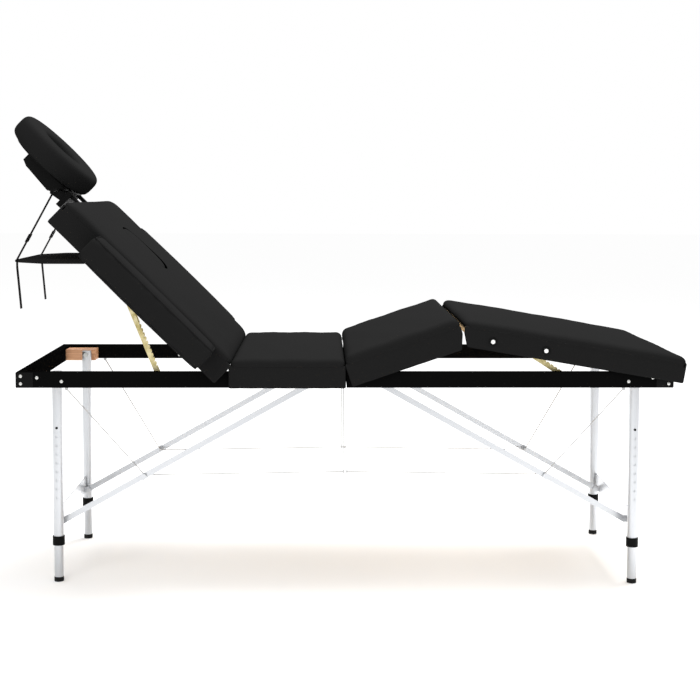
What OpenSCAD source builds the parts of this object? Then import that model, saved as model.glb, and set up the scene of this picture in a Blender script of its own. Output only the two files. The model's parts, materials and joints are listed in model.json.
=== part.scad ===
// Portable four-section treatment table, set up with its back raised and its leg end bent.
// X runs from the head end to the foot end, Y from the near side to the far side, Z up from the floor.
// The table folds in half like a suitcase about the seam at the bottom of the two half-frames.
// Lengths are millimetres and angles are degrees.

/* [Half-frames] */
// Length of one half-frame, from the seam to the end rail
half_l = 877; // [840:1:940]
// Width of the frame over its side rails
frame_w = 641; // [600:1:700]
// Height of the rails
rail_h = 42; // [38:1:50]
// Thickness of the rails
rail_t = 22; // [18:1:26]
// Height of the rail tops above the floor with the legs at their shortest
rail_top = 592; // [580:1:640]
// Gap between the two half-frames at the seam
seam_gap = 2; // [1.5:0.5:4]

/* [Legs] */
// Distance of the leg pivots from the seam
leg_x = 788; // [760:1:800]
// Distance of the head legs from the middle plane
head_leg_y = 223.5; // [215:0.5:226]
// Distance of the foot legs from the middle plane
foot_leg_y = 257.5; // [255:0.5:262]
// Outside diameter of the upper leg tube
leg_d = 28; // [26:0.5:30]
// Wall of the leg tubes
leg_wall = 1.4; // [1:0.1:1.8]
// Radial clearance between the upper and the lower leg tube
leg_clear = 0.3; // [0.3:0.1:0.6]
// Outside diameter of the plastic collar
collar_d = 33; // [32:0.5:33.5]
// Height of the plastic collar
collar_h = 25; // [20:1:35]
// Height of the collar's lower end above the floor
collar_z = 102; // [90:1:120]
// Height of the top locking hole above the floor
lock_z = 427; // [400:1:440]
// Distance between two locking holes
lock_pitch = 24; // [20:1:24]
// Number of steps that the legs can be lengthened by
lock_steps = 8; // [4:1:8]
// Diameter of a locking hole
lock_d = 7; // [6:0.5:9]
// Height of the cross plate's lower edge above the floor
plate_z = 150; // [140:1:165]
// Height of the cross plate
plate_h = 46; // [36:1:50]
// Thickness of the cross plate
plate_t = 3; // [2:0.5:4]

/* [Struts] */
// Distance of the upper strut pivot from the seam
strut_x = 45; // [40:1:80]
// Distance of the lower strut pivot from the leg pivot's line, towards the seam
strut_in = 7; // [5:0.5:8]
// Height of the lower strut pivot above the floor
strut_z = 160; // [155:1:185]
// Distance of the upper struts' middle from the middle plane
strut_y = 195.5; // [190:0.5:196]
// Depth of the flat bars
strut_h = 16; // [12:1:20]
// Thickness of the flat bars
strut_t = 5; // [3:0.5:5]
// Diameter of the brace wires
wire_d = 3; // [2:0.5:4]

/* [Sections] */
// Width of the four padded sections
pad_w = 680; // [660:1:760]
// Length of the fixed seat
seat_l = 312; // [280:1:340]
// Length of the back, from its hinge
back_l = 614; // [560:1:640]
// Length of the thigh section between its two hinges
thigh_l = 322; // [290:1:340]
// Length of the leg section, from its hinge
calf_l = 604; // [570:1:640]
// Incline of the back
back_angle = 44.5; // [30:0.5:48]
// Incline of the thigh section
thigh_angle = 18.7; // [12:0.1:23]
// Fall of the leg section
calf_angle = 9.6; // [6:0.1:10]
// Thickness of the plywood boards
board_t = 9; // [6:1:12]
// Height of the seat's top above the rail tops
seat_up = 38; // [30:1:45]
// Height of the back's top above its hinge
back_up = 36; // [30:1:40]
// Height of the thigh section's top above its hinge
thigh_up = 45; // [35:1:50]
// Height of the leg section's top above its hinge
calf_up = 38; // [30:1:45]
// Depth of the seat's skirt below the rail tops
seat_skirt = 42; // [30:1:42]
// Depth of the back's skirt below its hinge
back_skirt = 48; // [30:1:48]
// Depth of the thigh section's skirt below its hinge
thigh_skirt = 43; // [30:1:44]
// Depth of the leg section's skirt below its hinge
calf_skirt = 36; // [25:1:40]
// Thickness of the skirts
skirt_t = 14; // [10:1:16]

/* [Face hole and armrests] */
// Distance of the face hole from the back's hinge
hole_s = 405; // [380:1:420]
// Length of the face hole
hole_l = 174; // [150:1:190]
// Width of the face hole
hole_w = 130; // [110:1:150]
// Gap around the plug
plug_gap = 1.5; // [1:0.5:3]
// Length of an armrest
arm_l = 428; // [380:1:450]
// Width of an armrest
arm_w = 90; // [70:1:110]
// Distance of an armrest's lower end from the back's hinge
arm_s = 62; // [55:1:80]
// Height of an armrest's top above the back's hinge line
arm_up = 28; // [20:1:36]
// Depth of an armrest's underside below the back's hinge line
arm_down = 44; // [36:1:48]
// Gap between an armrest and the back
arm_gap = 4; // [2:0.5:8]
// Diameter of an armrest's rods
arm_rod_d = 12; // [10:0.5:14]
// Distance between an armrest's two rods
arm_pitch = 144; // [120:1:170]
// Distance of the first spare socket from the leg section's hinge
socket_s = 81; // [60:1:120]

/* [Headrest] */
// Distance of the ring cushion's middle from the back's hinge
ring_s = 771; // [765:1:800]
// Length of the ring cushion
ring_l = 276; // [250:1:276]
// Width of the ring cushion
ring_w = 290; // [250:1:320]
// Width of the ring's stuffed band
ring_band = 82; // [60:1:95]
// Height of the ring's underside above the back's hinge line
ring_n = 18; // [17:1:30]
// Thickness of the ring cushion
ring_t = 68; // [60:1:90]
// Distance between the two headrest rods
post_pitch = 116; // [90:1:140]
// Diameter of the headrest rods
post_d = 12; // [10:0.5:14]

/* [Arm shelf] */
// Distance of the shelf's outer end from the seam
shelf_x = 918; // [890:1:940]
// Length of the shelf
shelf_l = 200; // [170:1:214]
// Width of the shelf
shelf_w = 340; // [330:1:360]
// Thickness of the shelf
shelf_t = 24; // [18:1:28]
// Height of the shelf's underside above the floor
shelf_z = 863; // [840:1:880]

/* [Hidden] */
$fn = 48;

NEAR = -1;
FAR = 1;
HEAD = -1;
FOOT = 1;

// Frame
rail_bot = rail_top - rail_h;
rail_in = frame_w / 2 - rail_t;
leaf_t = 1.5;
fold_z = rail_bot - leaf_t;
pivot_z = rail_top - rail_h / 2;

// Legs
inner_d = leg_d - 2 * leg_wall - 2 * leg_clear;
leg_top = pivot_z + 11;
bolt_d = 8;
running = 0.05;
cap_d = inner_d + 0.8;
cap_h = 8;
block_x = leg_x - 23;
block_h = 33;
block_z = rail_bot + 1;
travel = lock_pitch * lock_steps;
inner_top = lock_z + 30;
clip_d = lock_d - 1;

// Struts: two straight bars that line up when open, and lie back along each other when the leg is folded
function far_from(a, b) = norm(a - b);
strut_top = [strut_x, pivot_z];
strut_low = [leg_x - strut_in, strut_z];
strut_low_folded = [leg_x - (pivot_z - strut_z), pivot_z + strut_in];
span_open = far_from(strut_top, strut_low);
span_folded = far_from(strut_top, strut_low_folded);
upper_l = (span_open + span_folded) / 2;
lower_l = (span_open - span_folded) / 2;
strut_dir = (strut_low - strut_top) / span_open;
strut_tilt = atan2(-strut_dir[1], strut_dir[0]);
knuckle = strut_top + upper_l * strut_dir;
plate_off = strut_h / 2 - strut_in + plate_t / 2 + 1;
lane_gap = 0.5;
lower_y = strut_y - strut_t - lane_gap;
lug_t = 4;
wire_anchor = [leg_x - 42, rail_bot];
wire_mid_x = 5;
wire_sag = 8;
knob_h = 8;
eye_d = 8;

// Section hinges, each on a barrel that just clears the rail tops
barrel_r = 3.5;
pin_r = 1.8;
hinge_z = rail_top + barrel_r + 0.5;
back_x = -(seat_l + 4);
thigh_x = 6;
board_drop = 2;
back_pivot = [back_x, hinge_z];
thigh_pivot = [thigh_x, hinge_z];
calf_pivot = thigh_pivot + thigh_l * [cos(thigh_angle), sin(thigh_angle)];
skirt_y = pad_w / 2 - skirt_t;
board_w = 2 * skirt_y - 8;
soft_r = 18;

// Ratchet stays, hinged to the side rails' inner faces
stay_y = 285;
stay_x = 500;
stay_lean = 68;
stay_l = 337;
stay_pin = stay_l - 5;
rack_l = 215;
rod_l = 215;
calf_stay_x = 600;
calf_stay_lean = 33;
calf_stay_l = 168;
stay_h = 15;
stay_t = 4;

// Headrest, in the back's own lengths: along the back from its hinge, and out from its hinge line
post_in = 130;
post_out = back_l + 52;
lever_s = back_l + 44;
lever_n = -29;
tilt_s = back_l + 69;
tilt_n = 0;
clamp_s0 = back_l + 36;
clamp_y = post_pitch / 2 + 14;
post_n = 6;
back_socket_s = arm_s + (arm_l - arm_pitch) / 2;
socket_n = -board_drop - arm_rod_d / 2 - 3 + 0.5;
socket_wall = 3;
tube_r = post_d / 2 + socket_wall;
socket_deep = 18;

// The middle of the whole table lies on the origin
x_right = calf_pivot[0] + calf_l * cos(calf_angle) + (calf_up - soft_r) * sin(calf_angle);
x_left = (ring_s + ring_l / 2 - 8) * cos(back_angle) - ring_n * sin(back_angle) - back_x;
seam_x = (max(shelf_x, x_left) - x_right) / 2;

// ---- places ----
module place() {
    translate([seam_x, 0, 0]) children();
}

module on_half(half) {
    place() mirror([half == HEAD ? 1 : 0, 0, 0]) children();
}

module in_back() {
    place() translate([back_pivot[0], 0, back_pivot[1]]) rotate([0, back_angle, 0]) rotate([0, 0, 180]) children();
}

module in_thigh() {
    place() translate([thigh_pivot[0], 0, thigh_pivot[1]]) rotate([0, -thigh_angle, 0]) children();
}

module in_calf() {
    place() translate([calf_pivot[0], 0, calf_pivot[1]]) rotate([0, calf_angle, 0]) children();
}

module both_sides() {
    for (side = [NEAR, FAR]) mirror([0, side == NEAR ? 1 : 0, 0]) children();
}

// ---- shapes that repeat ----
// A box from one corner to the opposite one
module span(a, b) {
    translate(a) cube(b - a);
}

// A bar along Y
module y_bar(d, x, z, y0, y1) {
    translate([x, y0, z]) rotate([-90, 0, 0]) cylinder(d = d, h = y1 - y0);
}

// A flat bar with round ends along +X from the origin, middle at y
module flat_bar(length, height, thick, y) {
    translate([0, y + thick / 2, 0]) rotate([90, 0, 0]) linear_extrude(thick) {
        translate([0, -height / 2]) square([length, height]);
        circle(d = height);
        translate([length, 0]) circle(d = height);
    }
}

// The fixed part of a butt hinge about the Y axis: two outer knuckles, their leaves and the pin
hinge_half = 30;
knuckle_half = 10;
knuckle_gap = 0.3;

module hinge_fixed(y, leaf_from, leaf_to) {
    for (side = [NEAR, FAR]) {
        y0 = side == NEAR ? -hinge_half : knuckle_half + knuckle_gap;
        y1 = side == NEAR ? -knuckle_half - knuckle_gap : hinge_half;
        y_bar(2 * barrel_r, 0, 0, y + y0, y + y1);
        span([leaf_from[0], y + y0, leaf_from[1]], [leaf_to[0], y + y1, leaf_to[1]]);
    }
    y_bar(2 * pin_r, 0, 0, y - hinge_half, y + hinge_half);
}

// The moving part: the middle knuckle, bored for the pin, and its leaf
module hinge_moving(y, leaf_from, leaf_to) {
    difference() {
        union() {
            y_bar(2 * barrel_r, 0, 0, y - knuckle_half, y + knuckle_half);
            span([leaf_from[0], y - knuckle_half, leaf_from[1]], [leaf_to[0], y + knuckle_half, leaf_to[1]]);
        }
        y_bar(2 * (pin_r + running), 0, 0, y - knuckle_half - 1, y + knuckle_half + 1);
    }
}

// ---- half-frames ----
module side_rail(half, side) {
    color([0.05, 0.05, 0.05]) on_half(half) mirror([0, side == NEAR ? 1 : 0, 0])
        span([seam_gap / 2, rail_in, rail_bot], [half_l, frame_w / 2, rail_top]);
}

module cross_rail(half, x) {
    color([0.05, 0.05, 0.05]) on_half(half) difference() {
        span([x, -rail_in, rail_bot], [x + rail_t, rail_in, rail_top]);
        y_bar(2 * (barrel_r + 0.8), 0, fold_z, -rail_in - 1, rail_in + 1);
    }
}

// Beech blocks in the corners, drilled for the leg pivot bolts
module corner_blocks(half, leg_y) {
    inner_y = leg_y + collar_d / 2 + 0.5;
    color([0.80, 0.60, 0.46]) on_half(half) both_sides() difference() {
        span([block_x, inner_y, block_z], [half_l - rail_t, rail_in, block_z + block_h]);
        y_bar(bolt_d, leg_x, pivot_z, inner_y - 1, rail_in + 1);
    }
}

// Pivot bolts with a spacer against the block and a nut inside the leg
module leg_bolts(half, leg_y) {
    inner_y = leg_y + collar_d / 2 + 0.5;
    color([0.72, 0.72, 0.74]) on_half(half) both_sides() {
        y_bar(bolt_d, leg_x, pivot_z, leg_y - leg_d / 2 - 7, rail_in);
        y_bar(16, leg_x, pivot_z, leg_y + leg_d / 2 + 0.2, inner_y);
        translate([leg_x, leg_y - leg_d / 2 - 0.3, pivot_z]) rotate([90, 0, 0]) cylinder(d = 15, h = 6, $fn = 6);
    }
}

// ---- fold, section and stay fittings on the half-frames ----
fold_hinge_y = 120;
section_hinge_y = 120;

module fold_hinge(half) {
    both_sides() {
        if (half == HEAD)
            translate([0, 0, fold_z]) hinge_fixed(fold_hinge_y, [1, 0], [30, leaf_t]);
        else
            translate([0, 0, fold_z]) hinge_moving(fold_hinge_y, [1, 0], [30, leaf_t]);
    }
}

// Lug for an upper strut, on the inner face of the middle rail
module strut_lug() {
    y0 = strut_y + strut_t / 2 + lane_gap;
    x0 = rail_t + seam_gap / 2;
    both_sides() {
        span([x0, y0, pivot_z - 12], [strut_x, y0 + lug_t, pivot_z + 12]);
        y_bar(24, strut_x, pivot_z, y0, y0 + lug_t);
        y_bar(6, strut_x, pivot_z, strut_y - strut_t / 2 + 0.3, y0);
    }
}

// Bracket for a ratchet stay on the inner face of a side rail
module stay_bracket(x) {
    both_sides() {
        span([x - 16, rail_in - 2.5, pivot_z - 14], [x + 16, rail_in, pivot_z + 14]);
        y_bar(6, x, pivot_z, stay_y - stay_t / 2 - 1.5, rail_in - 2);
    }
}

module head_hinges() {
    color([0.60, 0.60, 0.58]) {
        on_half(HEAD) {
            fold_hinge(HEAD);
            strut_lug();
            stay_bracket(stay_x);
        }
        place() translate([back_pivot[0], 0, back_pivot[1]]) both_sides() {
            hinge_fixed(section_hinge_y, [0, rail_top - leaf_t - hinge_z], [34, rail_top - hinge_z]);
            for (y = [-hinge_half, knuckle_half + knuckle_gap])
                span([0, section_hinge_y + y, rail_top - leaf_t - hinge_z],
                     [4, section_hinge_y + y + hinge_half - knuckle_half - knuckle_gap, 0]);
        }
    }
}

module foot_hinges() {
    color([0.60, 0.60, 0.58]) on_half(FOOT) {
        fold_hinge(FOOT);
        strut_lug();
        stay_bracket(calf_stay_x);
        translate([thigh_pivot[0], 0, thigh_pivot[1]]) both_sides()
            hinge_fixed(section_hinge_y, [-3, rail_top - hinge_z], [rail_t + seam_gap / 2 - thigh_x, rail_top + leaf_t - hinge_z]);
    }
}

// ---- brace wires ----
// A straight wire between two points, short of each by the radius of the eye there
module wire(a, b) {
    run = b - a;
    length = norm(run);
    translate(a) rotate([0, acos(run[2] / length), atan2(run[1], run[0])])
        translate([0, 0, eye_d / 2 - 1]) cylinder(d = wire_d, h = length - eye_d + 2);
}

// The round eye that wires end in
module eye(a) {
    y_bar(eye_d, a[0], a[2], a[1] - wire_d, a[1] + wire_d);
}

// From each strut's joint, a wire slopes up to the side rail and one runs level to the seam
module brace_wires(half) {
    y = lower_y - strut_t / 2 - knob_h - wire_d - 1;
    start = [knuckle[0], y, knuckle[1]];
    mid = [wire_mid_x, y, knuckle[1] + wire_sag];
    anchor = [wire_anchor[0], frame_w / 2 - rail_t / 2, wire_anchor[1] - eye_d / 2];
    color([0.8, 0.8, 0.8]) on_half(half) both_sides() {
        wire(start, anchor);
        eye(anchor);
        eye(start);
        wire(mid, start);
        eye(mid);
        if (half == HEAD) wire(mid, [wire_mid_x, y, rail_bot + eye_d / 2 - 1]);
    }
}

// ---- padded sections ----
// Side view of a pad: its slab above the board, with its two ends leaning back
module pad_profile(s0, s1, up, lean0, lean1, round_end) {
    base = board_t - board_drop;
    rise = up - base;
    r = round_end ? soft_r : 0;
    polygon([
        [s0 + base * tan(lean0), base], [s0 + up * tan(lean0), up],
        [s1 - up * tan(lean1) - r, up], if (round_end) [s1 - r * 0.3, up - r * 0.3], if (round_end) [s1, up - r],
        [s1 - base * tan(lean1), base]
    ]);
}

// Side view of a skirt, with its lower corners cut back where the next section tilts
module skirt_profile(s0, s1, deep, cut0, cut1) {
    top = board_t - board_drop;
    polygon([[s0, top], [s0, 0], [s0 + deep * tan(cut0), -deep], [s1 - deep * tan(cut1), -deep], [s1, 0], [s1, top]]);
}

module along_y(y0, y1) {
    translate([0, y1, 0]) rotate([90, 0, 0]) linear_extrude(y1 - y0) children();
}

// A section's board, flush with its slab
module board(s0, s1) {
    span([s0, -board_w / 2, -board_drop], [s1, board_w / 2, board_t - board_drop]);
}

seat_left = back_x + 3;
seat_right = -2;
back_lean = 24.5;
seam_lean = 9;

module seat_board() {
    color([0.78, 0.62, 0.42]) place()
        span([seat_left + 4, -frame_w / 2 + 4, rail_top], [seat_right - 4, frame_w / 2 - 4, rail_top + board_t]);
}

module seat_cushion() {
    color([0.10, 0.10, 0.10]) place() translate([0, 0, rail_top]) {
        along_y(-pad_w / 2, pad_w / 2) polygon([
            [seat_left + board_t * tan(back_lean), board_t], [seat_left + seat_up * tan(back_lean), seat_up],
            [seat_right - seat_up * tan(seam_lean), seat_up], [seat_right - board_t * tan(seam_lean), board_t]
        ]);
        both_sides() span([seat_left, skirt_y, -seat_skirt], [seat_right, pad_w / 2, board_t]);
    }
}

module oval(length, width) {
    d = min(length, width);
    hull() for (e = [-1, 1]) translate([e * (length - d) / 2, e * (width - d) / 2]) circle(d = d, $fn = 32);
}

module back_board() {
    color([0.78, 0.62, 0.42]) in_back() difference() {
        board(6, back_l - skirt_t - 4);
        translate([hole_s, 0, -board_drop - 1]) plug_shape(board_t + 2, 0);
        for (side = [NEAR, FAR])
            span([back_l - post_in - 2, side * post_pitch / 2 - tube_r - 0.5, -board_drop - 1],
                 [back_l, side * post_pitch / 2 + tube_r + 0.5, board_t]);
    }
}

module plug_shape(height, gap) {
    span([-(hole_l - hole_w) / 2, -hole_w / 2 + gap, 0], [(hole_l - hole_w) / 2, hole_w / 2 - gap, height]);
    for (x = [-1, 1]) translate([x * (hole_l - hole_w) / 2, 0, 0]) cylinder(r = hole_w / 2 - gap, h = height);
}

module back_cushion() {
    top = board_t - board_drop;
    color([0.10, 0.10, 0.10]) in_back() difference() {
        union() {
            along_y(-pad_w / 2, pad_w / 2) pad_profile(2, back_l, back_up, back_lean, 0, true);
            both_sides() along_y(skirt_y, pad_w / 2) skirt_profile(2, back_l, back_skirt, 0, 0);
            span([back_l - skirt_t, -pad_w / 2, -back_skirt], [back_l, pad_w / 2, top]);
        }
        translate([hole_s, 0, top - 1]) plug_shape(back_up, 0);
        both_sides() for (i = [0, 1])
            y_bar(arm_rod_d + 2 * socket_wall, back_socket_s + i * arm_pitch, socket_n, skirt_y - 1, pad_w / 2 + 1);
        for (side = [NEAR, FAR]) translate([back_l - post_in - 2, side * post_pitch / 2, post_n])
            rotate([0, 90, 0]) cylinder(r = tube_r + 0.3, h = post_in + 4);
    }
}

module face_plug() {
    color([0.12, 0.12, 0.12]) in_back() translate([hole_s, 0, -board_drop])
        plug_shape(back_up + board_drop, plug_gap);
}

// Hinges, headrest tubes and armrest tubes under the back's board
module back_fittings() {
    color([0.35, 0.35, 0.36]) in_back() {
        both_sides() hinge_moving(section_hinge_y, [0, -board_drop - leaf_t], [34, -board_drop]);
        for (side = [NEAR, FAR]) difference() {
            translate([back_l - post_in, side * post_pitch / 2, post_n])
                rotate([0, 90, 0]) cylinder(d = post_d + 2 * socket_wall, h = post_in);
            translate([back_l - post_in - 1, side * post_pitch / 2, post_n])
                rotate([0, 90, 0]) cylinder(d = post_d + 2 * running, h = post_in + 2);
        }
        for (side = [NEAR, FAR])
            span([back_l - post_in + 6, side * post_pitch / 2 - 20, -board_drop - leaf_t],
                 [back_l - skirt_t - 20, side * post_pitch / 2 + 20, -board_drop]);
        both_sides() stay_lugs();
        both_sides() for (i = [0, 1]) difference() {
            union() {
                y_bar(arm_rod_d + 2 * socket_wall, back_socket_s + i * arm_pitch, socket_n,
                      pad_w / 2 - socket_deep, pad_w / 2);
                span([back_socket_s + i * arm_pitch - 6, pad_w / 2 - 40, -board_drop - leaf_t],
                     [back_socket_s + i * arm_pitch + 6, skirt_y - 2, -board_drop]);
            }
            y_bar(arm_rod_d + 2 * running, back_socket_s + i * arm_pitch, socket_n,
                  pad_w / 2 - socket_deep - 1, pad_w / 2 + 1);
        }
    }
}

// A side armrest with the two rods that plug into the back's tubes
module armrest(side) {
    r = 22;
    y0 = pad_w / 2 + arm_gap;
    color([0.11, 0.11, 0.11]) in_back() mirror([0, side == FAR ? 1 : 0, 0]) {
        along_y(y0, y0 + arm_w) polygon([
            [arm_s, -arm_down + r], [arm_s + r, -arm_down], [arm_s + arm_l - r, -arm_down],
            [arm_s + arm_l, -arm_down + r], [arm_s + arm_l, arm_up - r], [arm_s + arm_l - r, arm_up],
            [arm_s + r, arm_up], [arm_s, arm_up - r]
        ]);
        for (i = [0, 1])
            y_bar(arm_rod_d, back_socket_s + i * arm_pitch, socket_n, pad_w / 2 - socket_deep + 4, y0 + 1);
    }
}

module thigh_board() {
    color([0.78, 0.62, 0.42]) in_thigh() board(4, thigh_l - 6);
}

module thigh_cushion() {
    color([0.10, 0.10, 0.10]) in_thigh() {
        along_y(-pad_w / 2, pad_w / 2) pad_profile(-4, thigh_l - 2, thigh_up, 13, 0, false);
        both_sides() along_y(skirt_y, pad_w / 2) skirt_profile(-4, thigh_l - 2, thigh_skirt, 0, 21);
    }
}

// The thigh's hinge leaves, and the fixed half of the hinge that carries the leg section
module thigh_hinges() {
    color([0.60, 0.60, 0.58]) in_thigh() {
        both_sides() hinge_moving(section_hinge_y, [0, -board_drop - leaf_t], [rail_t, -board_drop]);
        translate([thigh_l, 0, 0]) both_sides()
            hinge_fixed(section_hinge_y, [-30, -board_drop - leaf_t], [0, -board_drop]);
    }
}

module calf_board() {
    color([0.78, 0.62, 0.42]) in_calf() board(6, calf_l - skirt_t - 4);
}

module calf_cushion() {
    color([0.10, 0.10, 0.10]) in_calf()
        along_y(-pad_w / 2, pad_w / 2) pad_profile(2, calf_l, calf_up, 0, 0, true);
}

// Three hanging skirts that meet the pad's underside
module calf_skirts() {
    end_s = calf_l - skirt_t;
    color([0.10, 0.10, 0.10]) in_calf() {
        both_sides() difference() {
            along_y(skirt_y, pad_w / 2) skirt_profile(2, end_s - 0.5, calf_skirt, 21, 0);
            for (i = [0, 1])
                y_bar(arm_rod_d + 2 * socket_wall, socket_s + i * arm_pitch, socket_n, skirt_y - 1, pad_w / 2 + 1);
        }
        span([end_s, -pad_w / 2, -calf_skirt], [calf_l, pad_w / 2, board_t - board_drop]);
    }
}

// Hinge leaves and the spare armrest sockets under the leg section's board
module calf_fittings() {
    color([0.75, 0.75, 0.76]) in_calf() {
        both_sides() hinge_moving(section_hinge_y, [0, -board_drop - leaf_t], [30, -board_drop]);
        both_sides() for (i = [0, 1]) difference() {
            union() {
                y_bar(arm_rod_d + 2 * socket_wall, socket_s + i * arm_pitch, socket_n,
                      pad_w / 2 - socket_deep, pad_w / 2);
                span([socket_s + i * arm_pitch - 6, pad_w / 2 - 40, -board_drop - leaf_t],
                     [socket_s + i * arm_pitch + 6, skirt_y - 2, -board_drop]);
            }
            y_bar(arm_rod_d + 2 * running, socket_s + i * arm_pitch, socket_n,
                  pad_w / 2 - socket_deep - 1, pad_w / 2 + 1);
        }
    }
}

// ---- ratchet stays ----
// The rod's upper pivot, in the back's own lengths
stay_end = [-stay_x - stay_pin * cos(stay_lean), pivot_z + stay_pin * sin(stay_lean)] - back_pivot;
stay_end_s = stay_end[1] * sin(back_angle) - stay_end[0] * cos(back_angle);
stay_end_n = stay_end[0] * sin(back_angle) + stay_end[1] * cos(back_angle);

// Lug under the back's board that the rod's upper end hangs on
module stay_lugs() {
    y = stay_y - 12;
    difference() {
        union() {
            span([stay_end_s - 10, y, stay_end_n], [stay_end_s + 10, y + 4, -board_drop]);
            y_bar(20, stay_end_s, stay_end_n, y, y + 4);
        }
        y_bar(8 + 2 * running, stay_end_s, stay_end_n, y - 1, y + 5);
    }
}

module at_back_stay() {
    on_half(HEAD) translate([stay_x, 0, pivot_z]) rotate([0, -stay_lean, 0]) children();
}

// Lower half of a back stay: a toothed rack bar with a pivot hole
module back_stay_racks() {
    tooth = 12;
    color([0.72, 0.66, 0.40]) at_back_stay() both_sides() difference() {
        flat_bar(rack_l, stay_h, stay_t, stay_y);
        y_bar(6 + 2 * running, 0, 0, stay_y - stay_t, stay_y + stay_t);
        for (i = [3 : 13]) translate([i * tooth, stay_y + stay_t, stay_h / 2]) rotate([90, 0, 0])
            linear_extrude(2 * stay_t) polygon([[-1, 1], [-1, -4], [tooth / 2, 1]]);
    }
}

// Upper half of a back stay: a bar that runs beside the rack and reaches the back's underside
module back_stay_rods() {
    bar_h = 10;
    y = stay_y + stay_t + 0.5;
    color([0.72, 0.66, 0.40]) at_back_stay() both_sides() {
        translate([stay_l - rod_l, 0, 0]) flat_bar(rod_l - bar_h / 2, bar_h, stay_t, y);
        y_bar(8, stay_pin, 0, stay_y - 14, y);
    }
}

module calf_stays() {
    tooth = 12;
    color([0.72, 0.66, 0.40]) on_half(FOOT) translate([calf_stay_x, 0, pivot_z]) rotate([0, 180 + calf_stay_lean, 0])
        both_sides() difference() {
            flat_bar(calf_stay_l, stay_h, stay_t, stay_y);
            y_bar(6 + 2 * running, 0, 0, stay_y - stay_t, stay_y + stay_t);
            for (i = [3 : 12]) translate([i * tooth, stay_y + stay_t, -stay_h / 2]) rotate([90, 0, 0])
                linear_extrude(2 * stay_t) polygon([[-1, -1], [-1, 4], [tooth / 2, -1]]);
        }
}

// ---- legs ----
module upper_leg(half, side, leg_y) {
    color([0.80, 0.81, 0.82]) on_half(half) mirror([0, side == NEAR ? 1 : 0, 0]) translate([leg_x, leg_y, 0]) difference() {
        translate([0, 0, collar_z + 3]) cylinder(d = leg_d, h = leg_top - collar_z - 3);
        translate([0, 0, collar_z]) cylinder(d = leg_d - 2 * leg_wall, h = leg_top - collar_z - 3);
        y_bar(bolt_d + 2 * running, 0, pivot_z, -leg_d, leg_d);
        for (i = [0 : lock_steps]) y_bar(lock_d, 0, lock_z - i * lock_pitch, leg_d / 4, leg_d);
    }
}

module collars(half, leg_y) {
    color([0.06, 0.06, 0.06]) on_half(half) both_sides() translate([leg_x, leg_y, collar_z]) difference() {
        cylinder(d = collar_d, h = collar_h);
        translate([0, 0, 3]) cylinder(d = leg_d, h = collar_h);
        translate([0, 0, -1]) cylinder(d = leg_d - 2 * leg_wall, h = collar_h);
    }
}

// The aluminium plate between two legs, with a lug and a pin for each lower strut
module cross_plate(half, leg_y) {
    reach = leg_y - sqrt(pow(leg_d / 2, 2) - pow(plate_off - plate_t / 2, 2));
    lug_y = lower_y - strut_t / 2 - lane_gap;
    color([0.80, 0.81, 0.82]) on_half(half) {
        span([leg_x + plate_off - plate_t / 2, -reach, plate_z],
            [leg_x + plate_off + plate_t / 2, reach, plate_z + plate_h]);
        both_sides() {
            span([leg_x - strut_in, lug_y - lug_t, strut_z - 9], [leg_x + plate_off, lug_y, strut_z + 9]);
            y_bar(18, leg_x - strut_in, strut_z, lug_y - lug_t, lug_y);
            y_bar(6, leg_x - strut_in, strut_z, lug_y, lower_y + strut_t / 2);
        }
    }
}

// Lower leg tube with its rubber cap, drilled for the spring clip's button
module inner_leg(half, side, leg_y) {
    color([0.80, 0.81, 0.82]) on_half(half) mirror([0, side == NEAR ? 1 : 0, 0]) translate([leg_x, leg_y, 0]) {
        difference() {
            translate([0, 0, cap_h / 2]) cylinder(d = inner_d, h = inner_top - cap_h / 2);
            translate([0, 0, cap_h]) cylinder(d = inner_d - 2 * leg_wall, h = inner_top);
            y_bar(clip_d + 0.4, 0, lock_z, leg_d / 4, leg_d);
        }
        cylinder(d = cap_d, h = cap_h);
    }
}

// Spring clip inside the lower tube, with the button that locks the height
module spring_clip(half, side, leg_y) {
    color([0.10, 0.10, 0.10]) on_half(half) mirror([0, side == NEAR ? 1 : 0, 0]) translate([leg_x, leg_y, 0]) {
        y_bar(clip_d, 0, lock_z, inner_d / 2 - 5, leg_d / 2 + 2.2);
        span([-3, inner_d / 2 - 6, lock_z - 42], [3, inner_d / 2 - 5, lock_z + 4]);
    }
}

// ---- struts ----
module upper_struts(half) {
    color([0.82, 0.83, 0.84]) on_half(half) both_sides() translate([strut_x, 0, pivot_z]) rotate([0, strut_tilt, 0]) {
        difference() {
            flat_bar(upper_l, strut_h, strut_t, strut_y);
            y_bar(6 + 2 * running, 0, 0, strut_y - strut_t, strut_y + strut_t);
        }
        y_bar(18, upper_l, 0, strut_y + strut_t / 2, strut_y + strut_t / 2 + knob_h);
    }
}

module lower_struts(half) {
    color([0.82, 0.83, 0.84]) on_half(half) both_sides()
        translate([strut_low[0], 0, strut_low[1]]) rotate([0, 180 + strut_tilt, 0]) {
            difference() {
                flat_bar(lower_l, strut_h, strut_t, lower_y);
                y_bar(6 + 2 * running, 0, 0, lower_y - strut_t, lower_y + strut_t);
            }
            y_bar(9, lower_l, 0, lower_y - strut_t / 2 - knob_h, lower_y - strut_t / 2);
        }
}

// ---- headrest ----
strap_w = 18;
strap_t = 2;
strap_y = 158;

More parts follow.
